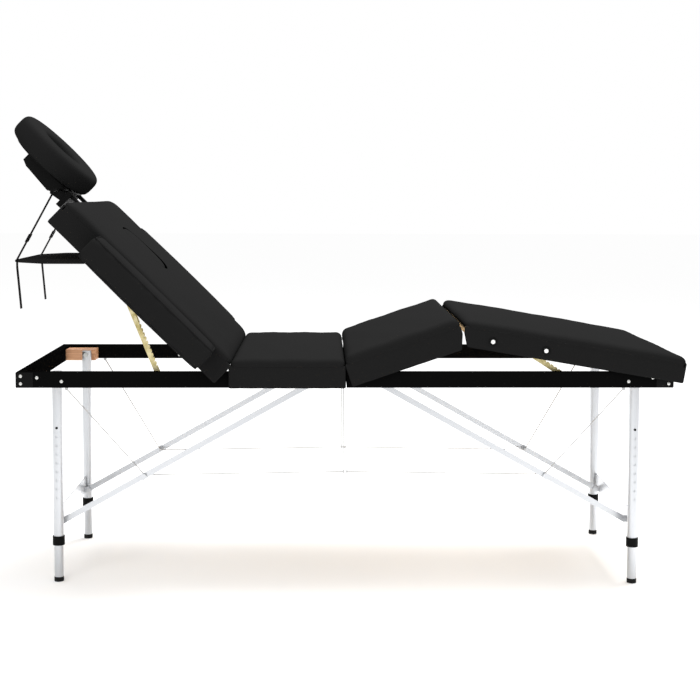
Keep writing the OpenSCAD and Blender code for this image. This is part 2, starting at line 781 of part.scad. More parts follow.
// Two rods that slide in the back's tubes, joined by the clamp bar
module headrest_posts() {
    color([0.12, 0.12, 0.12]) in_back() {
        for (side = [NEAR, FAR]) translate([back_l - post_in + 10, side * post_pitch / 2, post_n])
            rotate([0, 90, 0]) cylinder(d = post_d, h = post_out - back_l + post_in - 10);
        difference() {
            span([clamp_s0, -clamp_y, lever_n - 9], [clamp_s0 + 16, clamp_y, post_n + post_d / 2 + 0.5]);
            y_bar(6 + 2 * running, lever_s, lever_n, -clamp_y - 1, -clamp_y + 12);
        }
        for (side = [NEAR, FAR]) {
            y0 = side * post_pitch / 2 + (side == FAR ? 2 : -10);
            span([clamp_s0 + 8, y0, lever_n + 6], [tilt_s, y0 + 8, tilt_n + 2]);
            y_bar(20, tilt_s, tilt_n, y0, y0 + 8);
        }
        y_bar(8, tilt_s, tilt_n, -strap_y - strap_w / 2 - 3, strap_y + strap_w / 2 + 3);
    }
}

// Plate under the ring cushion, with two arms that hang on the clamp's spindle
module headrest_cradle() {
    plate_n0 = ring_n - 5;
    color([0.16, 0.16, 0.16]) in_back() {
        difference() {
            translate([ring_s, 0, plate_n0]) linear_extrude(5) oval(ring_l - 56, ring_w - 70);
            translate([ring_s, 0, plate_n0 - 1]) linear_extrude(7)
                oval(ring_l - 2 * ring_band - 6, ring_w - 2 * ring_band - 20);
            span([0, -ring_w, plate_n0 - 1], [tilt_s + 9, ring_w, plate_n0 + 6]);
        }
        for (side = [NEAR, FAR]) difference() {
            y0 = side * (post_pitch / 2 - 10) - 7;
            along_y(y0, y0 + 14) polygon([
                [tilt_s - 8, tilt_n - 9], [tilt_s + 30, -30], [tilt_s + 120, -22], [tilt_s + 138, -14],
                [tilt_s + 138, plate_n0], [tilt_s + 9, plate_n0], [tilt_s - 8, tilt_n + 6]
            ]);
            y_bar(8 + 2 * running, tilt_s, tilt_n, y0 - 1, y0 + 15);
        }
    }
}

// Cam lever on the clamp bar
module headrest_lever() {
    color([0.14, 0.14, 0.14]) in_back() {
        along_y(-clamp_y - 14, -clamp_y - 3) polygon([
            [lever_s - 8, lever_n - 8], [lever_s + 8, lever_n - 12], [lever_s + 62, lever_n - 21],
            [lever_s + 70, lever_n - 12], [lever_s + 60, lever_n - 7], [lever_s + 8, lever_n + 8], [lever_s - 8, lever_n + 8]
        ]);
        y_bar(6, lever_s, lever_n, -clamp_y - 4, -clamp_y + 10);
    }
}

// The face ring: a stuffed band round an oval opening
module headrest_cushion() {
    color([0.10, 0.10, 0.10]) in_back() translate([ring_s, 0, ring_n]) difference() {
        union() {
            linear_extrude(ring_t * 0.25) oval(ring_l - 16, ring_w - 16);
            translate([0, 0, ring_t * 0.25]) linear_extrude(ring_t * 0.5) oval(ring_l, ring_w);
            translate([0, 0, ring_t * 0.75]) linear_extrude(ring_t * 0.25) oval(ring_l - 24, ring_w - 24);
        }
        translate([0, 0, -1]) linear_extrude(ring_t + 2) oval(ring_l - 2 * ring_band, ring_w - 2 * ring_band);
    }
}

// ---- arm shelf ----
module arm_shelf() {
    tip = 30;
    color([0.08, 0.08, 0.08]) place() translate([-shelf_x, 0, shelf_z]) along_y(-shelf_w / 2, shelf_w / 2)
        polygon([[0, 4], [tip, 0], [shelf_l, 0], [shelf_l, shelf_t], [3 * tip, shelf_t], [0, 14]]);
}

// One strap each side, from the ends of the headrest's spindle to the shelf's outer end, and its loose tail
function at_back(s, n) = back_pivot + [n * sin(back_angle) - s * cos(back_angle), s * sin(back_angle) + n * cos(back_angle)];

module strap(a, b) {
    run = b - a;
    translate([a[0], 0, a[1]]) rotate([0, atan2(run[0], run[1]), 0])
        span([-strap_t / 2, strap_y - strap_w / 2, 0], [strap_t / 2, strap_y + strap_w / 2, norm(run)]);
}

module shelf_straps() {
    top = at_back(tilt_s, tilt_n) - [3.5, 6];
    low = [-shelf_x + 10, shelf_z + shelf_t * 0.75 + 2];
    color([0.15, 0.15, 0.15]) place() both_sides() {
        strap(low, top);
        strap([-shelf_x + 20, shelf_z - 116], [-shelf_x + 10, shelf_z - 1]);
    }
}

// ---- named pieces ----
module head_rail_near() side_rail(HEAD, NEAR);
module head_rail_far() side_rail(HEAD, FAR);
module head_end_rail() cross_rail(HEAD, half_l - rail_t);
module head_mid_rail() cross_rail(HEAD, seam_gap / 2);
module head_blocks() corner_blocks(HEAD, head_leg_y);
module head_leg_bolts() leg_bolts(HEAD, head_leg_y);
module head_wires() brace_wires(HEAD);
module foot_rail_near() side_rail(FOOT, NEAR);
module foot_rail_far() side_rail(FOOT, FAR);
module foot_end_rail() cross_rail(FOOT, half_l - rail_t);
module foot_mid_rail() cross_rail(FOOT, seam_gap / 2);
module foot_blocks() corner_blocks(FOOT, foot_leg_y);
module foot_leg_bolts() leg_bolts(FOOT, foot_leg_y);
module foot_wires() brace_wires(FOOT);
module armrest_near() armrest(NEAR);
module armrest_far() armrest(FAR);
module head_leg_near() upper_leg(HEAD, NEAR, head_leg_y);
module head_leg_far() upper_leg(HEAD, FAR, head_leg_y);
module head_cross_plate() cross_plate(HEAD, head_leg_y);
module head_collars() collars(HEAD, head_leg_y);
module foot_leg_near() upper_leg(FOOT, NEAR, foot_leg_y);
module foot_leg_far() upper_leg(FOOT, FAR, foot_leg_y);
module foot_cross_plate() cross_plate(FOOT, foot_leg_y);
module foot_collars() collars(FOOT, foot_leg_y);
module head_inner_near() inner_leg(HEAD, NEAR, head_leg_y);
module head_inner_far() inner_leg(HEAD, FAR, head_leg_y);
module foot_inner_near() inner_leg(FOOT, NEAR, foot_leg_y);
module foot_inner_far() inner_leg(FOOT, FAR, foot_leg_y);
module head_clip_near() spring_clip(HEAD, NEAR, head_leg_y);
module head_clip_far() spring_clip(HEAD, FAR, head_leg_y);
module foot_clip_near() spring_clip(FOOT, NEAR, foot_leg_y);
module foot_clip_far() spring_clip(FOOT, FAR, foot_leg_y);
module head_upper_struts() upper_struts(HEAD);
module head_lower_struts() lower_struts(HEAD);
module foot_upper_struts() upper_struts(FOOT);
module foot_lower_struts() lower_struts(FOOT);

head_rail_near();
head_rail_far();
head_end_rail();
head_mid_rail();
head_blocks();
head_leg_bolts();
seat_board();
seat_cushion();
head_hinges();
head_wires();
foot_rail_near();
foot_rail_far();
foot_end_rail();
foot_mid_rail();
foot_blocks();
foot_leg_bolts();
foot_hinges();
foot_wires();
back_board();
back_cushion();
back_fittings();
face_plug();
armrest_near();
armrest_far();
back_stay_racks();
back_stay_rods();
thigh_board();
thigh_cushion();
thigh_hinges();
calf_board();
calf_cushion();
calf_skirts();
calf_fittings();
calf_stays();
head_leg_near();
head_leg_far();
head_cross_plate();
head_collars();
foot_leg_near();
foot_leg_far();
foot_cross_plate();
foot_collars();
head_inner_near();
head_inner_far();
foot_inner_near();
foot_inner_far();
head_clip_near();
head_clip_far();
foot_clip_near();
foot_clip_far();
head_upper_struts();
head_lower_struts();
foot_upper_struts();
foot_lower_struts();
headrest_posts();
headrest_cradle();
headrest_lever();
headrest_cushion();
arm_shelf();
shelf_straps();
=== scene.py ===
# %% [markdown]
# # A folding treatment table
# The metal frame, legs, struts and hinges come ready made from the CAD model. What CAD leaves plain is
# upholstery: black vinyl stretched over foam. This lesson makes those pads as surfaces worked out with
# numpy, and gives the metal, wood and plastic their real finishes.

import json
import math

import bpy
import numpy as np
from mathutils import Euler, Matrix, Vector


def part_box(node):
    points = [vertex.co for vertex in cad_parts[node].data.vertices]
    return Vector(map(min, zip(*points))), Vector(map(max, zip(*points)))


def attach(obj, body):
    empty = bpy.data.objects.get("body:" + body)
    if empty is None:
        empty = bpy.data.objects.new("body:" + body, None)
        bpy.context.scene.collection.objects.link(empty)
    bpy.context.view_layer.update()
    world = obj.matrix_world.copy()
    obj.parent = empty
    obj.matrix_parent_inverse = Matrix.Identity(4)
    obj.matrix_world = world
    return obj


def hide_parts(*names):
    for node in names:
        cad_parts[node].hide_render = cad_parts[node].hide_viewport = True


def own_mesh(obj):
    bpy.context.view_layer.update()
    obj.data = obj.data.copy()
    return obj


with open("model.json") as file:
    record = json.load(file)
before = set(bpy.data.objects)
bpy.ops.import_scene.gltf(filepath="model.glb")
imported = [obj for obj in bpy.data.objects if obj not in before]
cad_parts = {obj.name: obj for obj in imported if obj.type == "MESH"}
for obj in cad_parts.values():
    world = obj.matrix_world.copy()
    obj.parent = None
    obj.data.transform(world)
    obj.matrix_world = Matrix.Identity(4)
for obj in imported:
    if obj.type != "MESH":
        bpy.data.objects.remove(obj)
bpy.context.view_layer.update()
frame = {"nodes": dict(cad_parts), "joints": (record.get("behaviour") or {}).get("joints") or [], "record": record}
joints = {j["name"]: j for j in frame["joints"]}
seam_x = (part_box("head_rail_near")[1][0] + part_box("foot_rail_near")[0][0]) / 2

# %% [markdown]
# ## The camera
# The table is seen almost square on, from a little above the pads and a few metres off, so it takes a
# fairly long lens. The lens is shifted down instead of tilted, which keeps the legs upright.

# %% Camera
camera_data = bpy.data.cameras.new("camera")
camera_data.lens = 66.83
camera_data.sensor_width = 36.0
camera_data.shift_y = -0.1146
camera = bpy.data.objects.new("camera", camera_data)
camera.location = (seam_x - 0.0644, -3.7635, 1.0706)
YAW, PITCH, ROLL = 1.20916, 3.40713, -0.16588
camera.rotation_euler = Euler((math.radians(90 - PITCH), math.radians(ROLL), math.radians(-YAW)), "XYZ")
bpy.context.scene.collection.objects.link(camera)
bpy.context.scene.camera = camera

# %% [markdown]
# ## Materials
# One function turns a sRGB hex colour into the linear numbers that a shader wants, and one adds a node
# with its settings and links. Each material then starts from what the real surface is made of.

# %% Helpers for materials
def linear(hex_colour):
    """sRGB hex to linear RGBA: the lower part is a straight line, the rest a 2.4 power."""
    value = [int(hex_colour[i:i + 2], 16) / 255 for i in (1, 3, 5)]
    return [v / 12.92 if v <= 0.04045 else ((v + 0.055) / 1.055) ** 2.4 for v in value] + [1.0]


def add_node(tree, kind, settings=None, **links):
    """A node of that kind. settings are properties or input values; links are input name to socket."""
    node = tree.nodes.new(kind)
    for key, value in (settings or {}).items():
        if hasattr(node, key):
            setattr(node, key, value)
        else:
            node.inputs[key].default_value = value
    for key, socket in links.items():
        tree.links.new(socket, node.inputs[key.replace("_", " ")])
    return node


def new_material(name, colour, roughness, metallic=0.0, ior=None, gloss=0.5):
    """A principled material with plain values, and its node tree and shader for those who add to it."""
    material = bpy.data.materials.new(name)
    material.use_nodes = True
    shader = material.node_tree.nodes["Principled BSDF"]
    shader.inputs["Base Color"].default_value = linear(colour)
    shader.inputs["Roughness"].default_value = roughness
    shader.inputs["Metallic"].default_value = metallic
    shader.inputs["Specular IOR Level"].default_value = gloss
    if ior is not None:
        shader.inputs["IOR"].default_value = ior
    return material, material.node_tree, shader


def bump_from_noise(tree, shader, size_mm, depth_mm, detail=3.0, stretch=(1, 1, 1)):
    """Bump from noise whose lumps are size_mm across: the scale is one lump a metre over size_mm."""
    coordinates = add_node(tree, "ShaderNodeTexCoord")
    mapping = add_node(tree, "ShaderNodeMapping", {"Scale": stretch}, Vector=coordinates.outputs["Object"])
    noise = add_node(tree, "ShaderNodeTexNoise", {"Scale": 1000.0 / size_mm, "Detail": detail},
                     Vector=mapping.outputs["Vector"])
    bump = add_node(tree, "ShaderNodeBump", {"Strength": 1.0, "Distance": depth_mm / 1000.0},
                    Height=noise.outputs["Fac"])
    tree.links.new(bump.outputs["Normal"], shader.inputs["Normal"])


# %% [markdown]
# ## Vinyl
# Upholstery vinyl is a PVC skin embossed with a leather grain of about 1.5 mm. The grain scatters light,
# so black vinyl is matt. Its mirror part is left out: seen this low, even a weak one turns the tops
# grey. The grain is drawn at 3 mm here, because at its true size it would not show across a room.

# %% Vinyl, webbing and plastics
vinyl, tree, shader = new_material("embossed black PVC vinyl", "#1a1a1a", 0.42, gloss=0.0)
coordinates = add_node(tree, "ShaderNodeTexCoord")
grain = add_node(tree, "ShaderNodeTexVoronoi", {"Scale": 1000.0 / 3.0, "feature": "SMOOTH_F1"},
                 Vector=coordinates.outputs["Object"])
crease = add_node(tree, "ShaderNodeTexNoise", {"Scale": 1000.0 / 60.0, "Detail": 4.0},
                  Vector=coordinates.outputs["Object"])
grain_bump = add_node(tree, "ShaderNodeBump", {"Strength": 0.5, "Distance": 0.0004},
                      Height=grain.outputs["Distance"])
crease_bump = add_node(tree, "ShaderNodeBump", {"Strength": 0.6, "Distance": 0.003},
                       Height=crease.outputs["Fac"], Normal=grain_bump.outputs["Normal"])
tree.links.new(crease_bump.outputs["Normal"], shader.inputs["Normal"])

rail_vinyl, tree, shader = new_material("black vinyl wrapped rail", "#0a0a0a", 0.42, gloss=0.0)
bump_from_noise(tree, shader, 3.0, 0.25)

black_plastic, tree, shader = new_material("moulded black polypropylene", "#0c0c0c", 0.4, ior=1.49,
                                           gloss=0.05)
bump_from_noise(tree, shader, 2.0, 0.1)

black_steel, tree, shader = new_material("black powder coated steel", "#0c0c0c", 0.35, ior=1.5, gloss=0.05)
bump_from_noise(tree, shader, 1.5, 0.12)

rubber = new_material("black rubber", "#0b0b0b", 0.75, ior=1.52, gloss=0.2)[0]

webbing, tree, shader = new_material("black polyester webbing", "#060606", 0.85, ior=1.5, gloss=0.1)
coordinates = add_node(tree, "ShaderNodeTexCoord")
ribs = add_node(tree, "ShaderNodeTexWave", {"Scale": 1000.0 / 4.0, "bands_direction": "Z"},
                Vector=coordinates.outputs["Object"])
rib_bump = add_node(tree, "ShaderNodeBump", {"Strength": 0.6, "Distance": 0.0005}, Height=ribs.outputs["Fac"])
tree.links.new(rib_bump.outputs["Normal"], shader.inputs["Normal"])

# %% [markdown]
# ## Metals and wood
# Leg tube is drawn aluminium, anodised clear: pale, slightly milky, with fine lines along the tube. The
# ratchet stays are steel plated with yellow zinc. The corner blocks are beech, with a short brown fleck.

# %% Metals and wood
aluminium, tree, shader = new_material("clear anodised aluminium", "#bcbec1", 0.32, metallic=0.9)
bump_from_noise(tree, shader, 1.2, 0.03, stretch=(1, 1, 0.02))

wire_steel = new_material("bright steel wire", "#a8a8a8", 0.3, metallic=0.9)[0]
hinge_steel = new_material("zinc plated steel", "#b9b9b6", 0.36, metallic=0.85)[0]
yellow_zinc, tree, shader = new_material("yellow passivated zinc", "#b9aa74", 0.38, metallic=0.8)
coordinates = add_node(tree, "ShaderNodeTexCoord")
bloom = add_node(tree, "ShaderNodeTexNoise", {"Scale": 1000.0 / 18.0, "Detail": 3.0},
                 Vector=coordinates.outputs["Object"])
bloom_ramp = add_node(tree, "ShaderNodeValToRGB", None, Fac=bloom.outputs["Fac"])
bloom_ramp.color_ramp.elements[0].position = 0.35
bloom_ramp.color_ramp.elements[0].color = linear("#a89a62")
bloom_ramp.color_ramp.elements[1].position = 0.65
bloom_ramp.color_ramp.elements[1].color = linear("#cfc49a")
tree.links.new(bloom_ramp.outputs["Color"], shader.inputs["Base Color"])


def wood(name, dark, light, ring_mm):
    """Grain along X: noise stretched twenty times along the board, between a dark and a light tone."""
    material, tree, shader = new_material(name, light, 0.5, ior=1.5)
    coordinates = add_node(tree, "ShaderNodeTexCoord")
    mapping = add_node(tree, "ShaderNodeMapping", {"Scale": (0.05, 1, 1)},
                       Vector=coordinates.outputs["Object"])
    noise = add_node(tree, "ShaderNodeTexNoise", {"Scale": 1000.0 / ring_mm, "Detail": 4.0},
                     Vector=mapping.outputs["Vector"])
    ramp = add_node(tree, "ShaderNodeValToRGB", None, Fac=noise.outputs["Fac"])
    ramp.color_ramp.elements[0].position = 0.3
    ramp.color_ramp.elements[0].color = linear(dark)
    ramp.color_ramp.elements[1].position = 0.7
    ramp.color_ramp.elements[1].color = linear(light)
    tree.links.new(ramp.outputs["Color"], shader.inputs["Base Color"])
    return material


beech = wood("steamed beech", "#b9825c", "#d9a880", 5.0)
plywood = wood("birch plywood", "#b39468", "#cdb48c", 9.0)
white_plastic = new_material("white polyethylene cap", "#e6e6e4", 0.4, ior=1.5)[0]

FINISH = {
    "black_vinyl": vinyl, "black_rail": rail_vinyl, "beech": beech, "plywood": plywood,
    "leg_aluminium": aluminium, "black_plastic": black_plastic, "rubber": rubber, "zinc_steel": yellow_zinc,
    "hinge_steel": hinge_steel, "steel_wire": wire_steel, "black_steel": black_steel, "webbing": webbing,
}
slot_of = {s["node"]: s["material_slot"] for s in frame["record"]["subparts"]}
for node_name, node_object in frame["nodes"].items():
    finish = FINISH[slot_of[node_name]]
    if not node_object.material_slots:
        node_object.data.materials.append(finish)
    for material_slot in node_object.material_slots:
        material_slot.material = finish
print("finishes on", len(frame["nodes"]), "CAD nodes")

# %% [markdown]
# ## Making a piece
# Every new surface is a big array of points and faces. Neighbouring patches repeat the points along
# their shared edge, so equal points are merged before Blender gets the mesh.

# %% From arrays to a piece
def make_piece(name, points, faces, material, body, smooth_angle=45.0):
    """Merges points closer than 0.01 mm, builds the mesh, and lets the piece ride on its body."""
    key = np.round(points * 1e5).astype(np.int64)
    _, first, inverse = np.unique(key, axis=0, return_index=True, return_inverse=True)
    inverse = inverse.reshape(-1)
    merged = inverse[faces]
    mesh = bpy.data.meshes.new(name)
    corners = [list(dict.fromkeys(face)) for face in merged.tolist()]
    mesh.from_pydata(points[first].tolist(), [], [c for c in corners if len(c) > 2])
    mesh.materials.append(material)
    mesh.validate()
    mesh.polygons.foreach_set("use_smooth", np.ones(len(mesh.polygons), bool))
    mesh.set_sharp_from_angle(angle=math.radians(smooth_angle))
    piece = bpy.data.objects.new(name, mesh)
    bpy.context.scene.collection.objects.link(piece)
    if body:
        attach(piece, body)
    return piece


def grid_faces(rows, columns, closed_rows=False, closed_columns=False, start=0):
    """Quads of a grid of rows x columns points, joined round where it closes."""
    i, j = np.meshgrid(np.arange(rows if closed_rows else rows - 1),
                       np.arange(columns if closed_columns else columns - 1), indexing="ij")
    i2 = (i + 1) % rows
    j2 = (j + 1) % columns
    quads = np.stack([i * columns + j, i2 * columns + j, i2 * columns + j2, i * columns + j2], axis=-1)
    return quads.reshape(-1, 4) + start


# %% [markdown]
# ## A rounded box
# A foam block with soft edges is a box pushed out of a smaller box: each point of the outer box is
# drawn back to the inner box plus one radius in its own direction. All six sides are grids.

# %% Rounded box
def rounded_box(lo, hi, radius, cells=(24, 24, 8)):
    """Points and faces of a box from lo to hi whose edges have that radius."""
    lo, hi = np.array(lo, float), np.array(hi, float)
    radius = np.minimum(radius, (hi - lo) / 2.001)
    steps = []
    for k in range(3):
        ends = radius[k] * (1 - np.cos(np.linspace(0, math.pi / 2, 6)))
        middle = np.linspace(lo[k] + radius[k], hi[k] - radius[k], cells[k] + 1)
        steps.append(np.unique(np.concatenate([lo[k] + ends, middle, hi[k] - ends])))
    points, faces, count = [], [], 0
    for axis in range(3):
        a, b = (axis + 1) % 3, (axis + 2) % 3
        for side in (0, 1):
            u, v = np.meshgrid(steps[a], steps[b], indexing="ij")
            patch = np.zeros(u.shape + (3,))
            patch[..., axis] = (lo, hi)[side][axis]
            patch[..., a], patch[..., b] = u, v
            quads = grid_faces(len(steps[a]), len(steps[b]), start=count)
            faces.append(quads if side else quads[:, ::-1])
            points.append(patch.reshape(-1, 3))
            count += patch.shape[0] * patch.shape[1]
    points = np.concatenate(points)
    inner = np.clip(points, lo + radius, hi - radius)
    out = (points - inner) / radius
    length = np.maximum(np.linalg.norm(out, axis=1, keepdims=True), 1e-9)
    return inner + radius * out / length, np.concatenate(faces)


def tube(path, radius, closed=True, sides=10, up=(0, 0, 1)):
    """A round tube along a path: rings in the plane across the path's own direction."""
    path = np.asarray(path, float)
    ahead = np.roll(path, -1, axis=0) - np.roll(path, 1, axis=0)
    if not closed:
        ahead[0], ahead[-1] = path[1] - path[0], path[-1] - path[-2]
    ahead /= np.linalg.norm(ahead, axis=1, keepdims=True)
    side = np.cross(ahead, np.array(up, float))
    side /= np.maximum(np.linalg.norm(side, axis=1, keepdims=True), 1e-9)
    other = np.cross(side, ahead)
    turn = np.linspace(0, 2 * math.pi, sides, endpoint=False)
    ring = side[:, None] * np.cos(turn)[None, :, None] + other[:, None] * np.sin(turn)[None, :, None]
    points = (path[:, None] + radius * ring).reshape(-1, 3)
    faces = grid_faces(len(path), sides, closed_rows=closed, closed_columns=True)
    if closed:
        return points, faces
    caps = [np.array([[0, (k + 1) % sides, k, k] for k in range(1, sides - 1)]),
            np.array([[0, k, (k + 1) % sides, (k + 1) % sides] for k in range(1, sides - 1)])]
    return points, np.concatenate([faces, caps[0], caps[1] + (len(path) - 1) * sides])


def join(*parts):
    """Several (points, faces) as one."""
    count, points, faces = 0, [], []
    for part_points, part_faces in parts:
        points.append(part_points)
        faces.append(part_faces + count)
        count += len(part_points)
    return np.concatenate(points), np.concatenate(faces)


# %% [markdown]
# ## Places on the tilted sections
# Each section has its own directions: along it from its hinge, across the table, and out of the pad.
# One function takes arrays in those directions to the table's own frame.

# %% Section frames
BACK_INCLINE, THIGH_INCLINE, CALF_FALL = 44.5, 18.7, 9.6


def section(origin, degrees, towards_head=False):
    """Returns a function that carries (along, across, out) points to the table's frame."""
    turn = math.radians(degrees)
    if towards_head:
        along, out = (-math.cos(turn), 0, math.sin(turn)), (math.sin(turn), 0, math.cos(turn))
    else:
        along, out = (math.cos(turn), 0, math.sin(turn)), (-math.sin(turn), 0, math.cos(turn))
    axes = np.array([along, (0, 1, 0), out], float)
    return lambda points: np.asarray(points, float) @ axes + np.array(origin, float)


on_back = section(joints["back_recline"]["pos_m"], BACK_INCLINE, towards_head=True)
on_thigh = section(joints["thigh_tilt"]["pos_m"], THIGH_INCLINE)
on_calf = section(joints["calf_tilt"]["pos_m"], -CALF_FALL)
rail_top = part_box("head_rail_near")[1][2]
on_seat = section((seam_x, 0, rail_top), 0)
HALF_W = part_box("seat_cushion")[1][1]
BOARD_OUT = 0.007
# The skirts: their thickness, how far inside the pad's face they stay, their edge and their ripple.
SKIRT, SKIRT_IN, SKIRT_EDGE, RIPPLE = 0.014, 0.0008, 0.005, 0.0012

# %% [markdown]
# ## The padded sections
# A section is foam on plywood, covered with vinyl that is pulled over the edges and stapled below. The
# top swells a little, the long edges are rounded, and tension makes shallow puckers that fade inwards
# from the edges. The cover's side hangs past the board as a skirt, which hides the rail.

# %% Pad shapes
def pad_shape(s0, s1, base, top, crown, radius, lean0=0.0, lean1=0.0, droop=0.0):
    """A rounded block; its top rises by crown times (1-a^2)(1-b^2), and its two ends lean back."""
    points, faces = rounded_box((s0, -HALF_W, base), (s1, HALF_W, top), radius, cells=(30, 40, 3))
    a = (points[:, 0] - s0) / (s1 - s0) * 2 - 1
    b = points[:, 1] / HALF_W
    height = np.clip((points[:, 2] - base) / (top - base), 0, 1)
    edge = np.clip((1 - a ** 6) * (1 - b ** 8), 0, 1)
    swell = crown * (1 - a ** 2) * (1 - np.abs(b) ** 3)
    pucker = 0.0012 * np.sin(b * 37 + 2 * np.sin(a * 5)) * (np.abs(a) ** 5)
    pucker += 0.0010 * np.sin(a * 29 + 1.7 * np.sin(b * 7)) * (np.abs(b) ** 6)
    points[:, 2] += height * (swell + pucker * edge + 0.0006 * np.sin(a * 9 + b * 6))
    points[:, 0] += (a < 0) * np.abs(a) * (points[:, 2] - base) * math.tan(math.radians(lean0))
    points[:, 0] -= (a > 0) * np.abs(a) * (points[:, 2] - base) * math.tan(math.radians(lean1))
    points[:, 2] -= droop * height * np.clip(a, 0, 1) ** 8
    return points, faces


def skirt_shape(s0, s1, side, deep, top, cut0=0.0, cut1=0.0):
    """The hanging side of a cover: a thin rounded panel, with its lower corners cut back at an angle."""
    inner, outer = HALF_W - SKIRT, HALF_W - SKIRT_IN
    y0, y1 = (inner, outer) if side > 0 else (-outer, -inner)
    points, faces = rounded_box((s0, y0, -deep), (s1, y1, top), SKIRT_EDGE, cells=(40, 1, 6))
    below = np.clip(-points[:, 2], 0, None)
    share = (points[:, 0] - s0) / (s1 - s0)
    slope0, slope1 = math.tan(math.radians(cut0)), math.tan(math.radians(cut1))
    points[:, 0] += below * (slope0 * (1 - share) - slope1 * share)
    ripple = RIPPLE * np.sin(share * 31 + 2 * np.sin(share * 9)) * np.clip(below / deep, 0, 1)
    points[:, 1] += side * (ripple - RIPPLE)
    return points, faces


def end_skirt_shape(s1, deep, top):
    """The skirt across a section's free end."""
    reach = HALF_W - 0.002
    return rounded_box((s1 - SKIRT, -reach, -deep), (s1 - SKIRT_IN, reach, top), SKIRT_EDGE, cells=(1, 40, 6))


def pad_piece(name, place, shapes, body, replaced):
    """One upholstered section from its shapes, standing for its plain CAD cushion."""
    points, faces = join(*shapes)
    piece = make_piece(name, place(points), faces, vinyl, body, smooth_angle=60)
    for node_name in replaced:
        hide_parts(node_name)
    print(name, len(piece.data.polygons), "faces")


# %% Seat, thigh section and leg section
SEAT_HANG, THIGH_HANG, CALF_HANG, BACK_HANG = 0.042, 0.043, 0.036, 0.048
SIDE_CUT = 21
seat_s0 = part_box("seat_cushion")[0][0] - seam_x
seat_s1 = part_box("seat_cushion")[1][0] - seam_x
pad_piece("seat_pad", on_seat, [
    pad_shape(seat_s0, seat_s1, 0.009, 0.037, 0.006, 0.016, lean0=20, lean1=7),
    *[skirt_shape(seat_s0, seat_s1, side, SEAT_HANG, 0.018) for side in (-1, 1)],
], "head_frame", ["seat_cushion"])

THIGH_L, CALF_L, BACK_L = 0.322, 0.604, 0.614
pad_piece("thigh_pad", on_thigh, [
    pad_shape(-0.004, THIGH_L - 0.002, BOARD_OUT, 0.043, 0.008, 0.018, lean0=11),
    *[skirt_shape(-0.004, THIGH_L - 0.002, side, THIGH_HANG, 0.02, cut1=SIDE_CUT) for side in (-1, 1)],
], "thigh", ["thigh_cushion"])

pad_piece("leg_pad", on_calf, [
    pad_shape(0.002, CALF_L, BOARD_OUT, 0.037, 0.008, 0.022, droop=0.004),
    *[skirt_shape(0.002, CALF_L, side, CALF_HANG, 0.02, cut0=SIDE_CUT) for side in (-1, 1)],
    end_skirt_shape(CALF_L, CALF_HANG, 0.02),
], "calf", ["calf_cushion", "calf_skirts"])

# %% [markdown]
# ## The back and its face hole
# The back's pad has an oval hole for the face, closed by a padded plug. The hole is cut right through
# the pad, so that the back is still right when the plug is taken out.

# %% The back
HOLE_S, HOLE_L, HOLE_W = 0.405, 0.174, 0.130


def oval_plug(length, width, low, high, radius, rings=8, around=64):
    """A slot-shaped disc: each ring is two half circles joined by straights, drawn in near its rims."""
    turn = np.linspace(0, 2 * math.pi, around, endpoint=False)
    fall = np.linspace(0, math.pi / 2, rings)
    inset = np.concatenate([[width / 2 - 1e-4], radius * (1 - np.sin(fall)), radius * (1 - np.cos(fall)),
                            [width / 2 - 1e-4]])
    out = np.concatenate([[high], high - radius * (1 - np.cos(fall)),
                          low + radius * (1 - np.sin(fall)), [low]])
    reach = (width / 2 - inset)[:, None]
    x = np.sign(np.cos(turn))[None] * (length - width) / 2 * (reach > 1e-3) + reach * np.cos(turn)[None]
    y = reach * np.sin(turn)[None]
    points = np.stack([x, y, np.broadcast_to(out[:, None], x.shape)], axis=-1).reshape(-1, 3)
    faces = grid_faces(len(out), around, closed_columns=True)
    top = np.array([[0, k, k + 1, k + 1] for k in range(1, around - 1)])
    bottom = top[:, ::-1] + (len(out) - 1) * around
    return points, np.concatenate([faces[:, ::-1], top, bottom])


def cut_by(piece, cutter):
    """Takes the cutter's shape out of the piece, and removes the cutter."""
    modifier = piece.modifiers.new("cut", "BOOLEAN")
    modifier.operation = "DIFFERENCE"
    modifier.solver = "EXACT"
    modifier.object = cutter
    bpy.context.view_layer.update()
    graph = bpy.context.evaluated_depsgraph_get()
    mesh = bpy.data.meshes.new_from_object(piece.evaluated_get(graph))
    piece.modifiers.clear()
    piece.data = mesh
    bpy.data.objects.remove(cutter)


slab_points, slab_faces = pad_shape(0.002, BACK_L, BOARD_OUT, 0.035, 0.007, (0.034, 0.02, 0.014),
                                    lean0=22, droop=0.004)
back_slab = make_piece("back_pad", on_back(slab_points), slab_faces, vinyl, "back",
                       smooth_angle=60)
hole_points, hole_faces = oval_plug(HOLE_L, HOLE_W, -0.02, 0.08, 0.001)
cutter = make_piece("hole_cutter", on_back(hole_points + np.array([HOLE_S, 0, 0])), hole_faces, vinyl,
                    None)
cut_by(back_slab, cutter)
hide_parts("back_cushion")

back_skirts = join(*[skirt_shape(0.002, BACK_L, side, BACK_HANG, 0.018) for side in (-1, 1)],
                   end_skirt_shape(BACK_L, BACK_HANG, 0.018))
skirts = make_piece("back_skirts", on_back(back_skirts[0]), back_skirts[1], vinyl, "back")

PLUG_GAP = 0.005
plug_points, plug_faces = oval_plug(HOLE_L - PLUG_GAP, HOLE_W - PLUG_GAP, -0.002, 0.041, 0.011)
plug = make_piece("face_hole_plug", on_back(plug_points + np.array([HOLE_S, 0, 0])), plug_faces, vinyl,
                  "plug")
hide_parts("face_plug")

# %% [markdown]
# ## Armrests
# Two bolsters plug into the sides of the back on two rods each. Each is a long foam block with a cover
# sewn along its edges, so a piped seam runs round its top and another round its underside.

